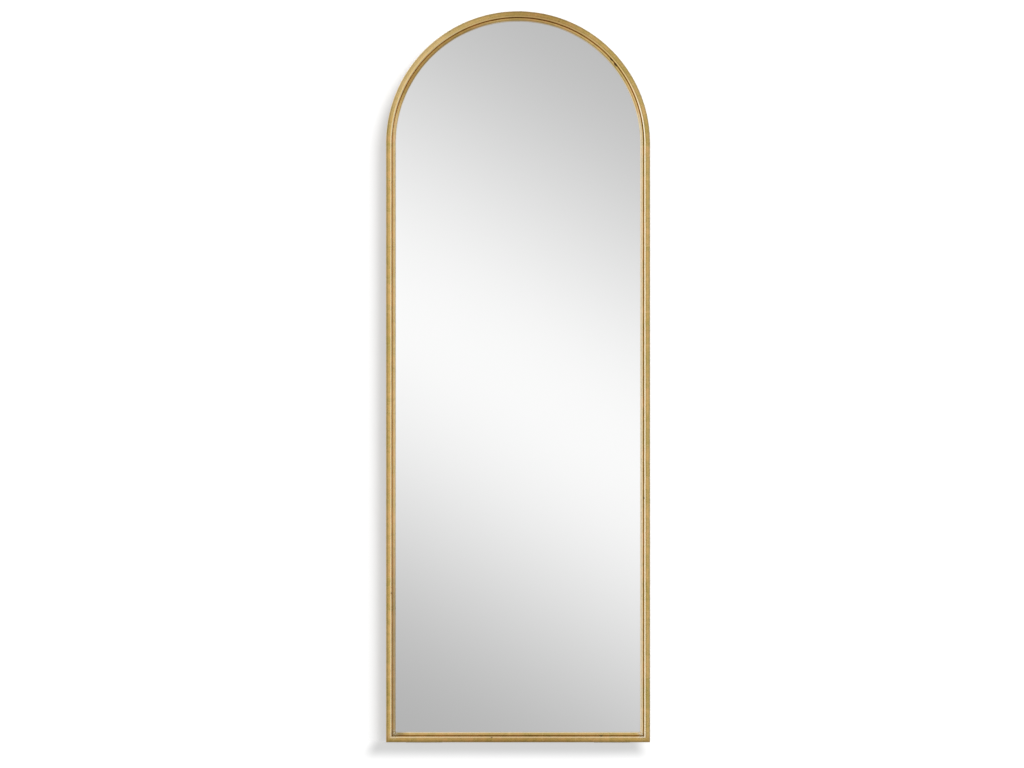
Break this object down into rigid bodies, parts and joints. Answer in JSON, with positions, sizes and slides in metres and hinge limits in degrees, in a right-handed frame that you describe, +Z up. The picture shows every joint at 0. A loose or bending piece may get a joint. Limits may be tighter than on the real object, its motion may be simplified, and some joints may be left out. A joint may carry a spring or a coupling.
{
  "type": "leaning floor mirror",
  "caption": "Full-length arched floor mirror in a slim gilded metal frame with an inner bead, leaned on a wall or hung from D-rings on its back.",
  "frame": {"origin": "on the floor plane, at the centre of the mirror's footprint", "axes": "+Z up, +X to the viewer's right when facing the glass, -Y out of the glass towards the viewer; the mirror is upright"},
  "size_m": [0.6604, 0.034, 1.8302],
  "materials": {
    "gold_leaf": "satin",
    "plain_steel": "matte",
    "zinc_plated_steel": "satin",
    "blackened_steel": "satin",
    "black_rubber": "matte",
    "pale_rubber": "matte",
    "mirror": "polished",
    "white_foam": "matte",
    "backing_board": "matte"
  },
  "bodies": {
    "frame": {"frame_arch": "gold_leaf", "frame_stile_left": "gold_leaf", "frame_stile_right": "gold_leaf", "frame_bottom_rail": "gold_leaf", "bead_arch": "gold_leaf", "bead_left": "gold_leaf", "bead_right": "gold_leaf", "bead_bottom": "gold_leaf", "arch_splice_left": "plain_steel", "arch_splice_right": "plain_steel", "corner_key_left": "plain_steel", "corner_key_right": "plain_steel", "splice_screws": "zinc_plated_steel", "corner_key_screws": "zinc_plated_steel", "turn_button_screws": "zinc_plated_steel", "bumper_screws": "zinc_plated_steel", "hanger_plate_screws": "zinc_plated_steel", "hanger_strap_left": "zinc_plated_steel", "hanger_strap_right": "zinc_plated_steel", "hanger_rivets": "zinc_plated_steel", "hanger_plate_left": "blackened_steel", "hanger_plate_right": "blackened_steel", "wall_bumper_top_left": "black_rubber", "wall_bumper_top_right": "black_rubber", "wall_bumper_bottom_left": "black_rubber", "wall_bumper_bottom_right": "black_rubber", "glass_setting_blocks": "black_rubber", "floor_pad_left": "pale_rubber", "floor_pad_right": "pale_rubber", "mirror_glass": "mirror", "foam_sheet": "white_foam", "backing_board": "backing_board"},
    "turn_button_left_lower": {"turn_button_left_lower": "blackened_steel"},
    "turn_button_left_middle": {"turn_button_left_middle": "blackened_steel"},
    "turn_button_left_upper": {"turn_button_left_upper": "blackened_steel"},
    "turn_button_right_lower": {"turn_button_right_lower": "blackened_steel"},
    "turn_button_right_middle": {"turn_button_right_middle": "blackened_steel"},
    "turn_button_right_upper": {"turn_button_right_upper": "blackened_steel"},
    "turn_button_top": {"turn_button_top": "blackened_steel"},
    "turn_button_bottom": {"turn_button_bottom": "blackened_steel"},
    "d_ring_left": {"d_ring_left": "zinc_plated_steel"},
    "d_ring_right": {"d_ring_right": "zinc_plated_steel"}
  },
  "joints": [
    {"name": "turn_button_left_lower_pivot", "type": "hinge", "parent": "frame", "child": "turn_button_left_lower", "pos_m": [-0.3227, 0.00795, 0.28], "axis": [0, 1, 0], "range_deg": [-90, 90]},
    {"name": "turn_button_left_middle_pivot", "type": "hinge", "parent": "frame", "child": "turn_button_left_middle", "pos_m": [-0.3227, 0.00795, 0.79], "axis": [0, 1, 0], "range_deg": [-90, 90]},
    {"name": "turn_button_left_upper_pivot", "type": "hinge", "parent": "frame", "child": "turn_button_left_upper", "pos_m": [-0.3227, 0.00795, 1.3], "axis": [0, 1, 0], "range_deg": [-90, 90]},
    {"name": "turn_button_right_lower_pivot", "type": "hinge", "parent": "frame", "child": "turn_button_right_lower", "pos_m": [0.3227, 0.00795, 0.28], "axis": [0, 1, 0], "range_deg": [-90, 90]},
    {"name": "turn_button_right_middle_pivot", "type": "hinge", "parent": "frame", "child": "turn_button_right_middle", "pos_m": [0.3227, 0.00795, 0.79], "axis": [0, 1, 0], "range_deg": [-90, 90]},
    {"name": "turn_button_right_upper_pivot", "type": "hinge", "parent": "frame", "child": "turn_button_right_upper", "pos_m": [0.3227, 0.00795, 1.3], "axis": [0, 1, 0], "range_deg": [-90, 90]},
    {"name": "turn_button_top_pivot", "type": "hinge", "parent": "frame", "child": "turn_button_top", "pos_m": [0, 0.00795, 1.8228], "axis": [0, 1, 0], "range_deg": [-90, 90]},
    {"name": "turn_button_bottom_pivot", "type": "hinge", "parent": "frame", "child": "turn_button_bottom", "pos_m": [0, 0.00795, 0.009], "axis": [0, 1, 0], "range_deg": [-90, 90]},
    {"name": "d_ring_left_swing", "type": "hinge", "parent": "frame", "child": "d_ring_left", "pos_m": [-0.2977, 0.012, 1.436], "axis": [1, 0, 0], "range_deg": [0, 174]},
    {"name": "d_ring_right_swing", "type": "hinge", "parent": "frame", "child": "d_ring_right", "pos_m": [0.2977, 0.012, 1.436], "axis": [1, 0, 0], "range_deg": [0, 174]}
  ]
}
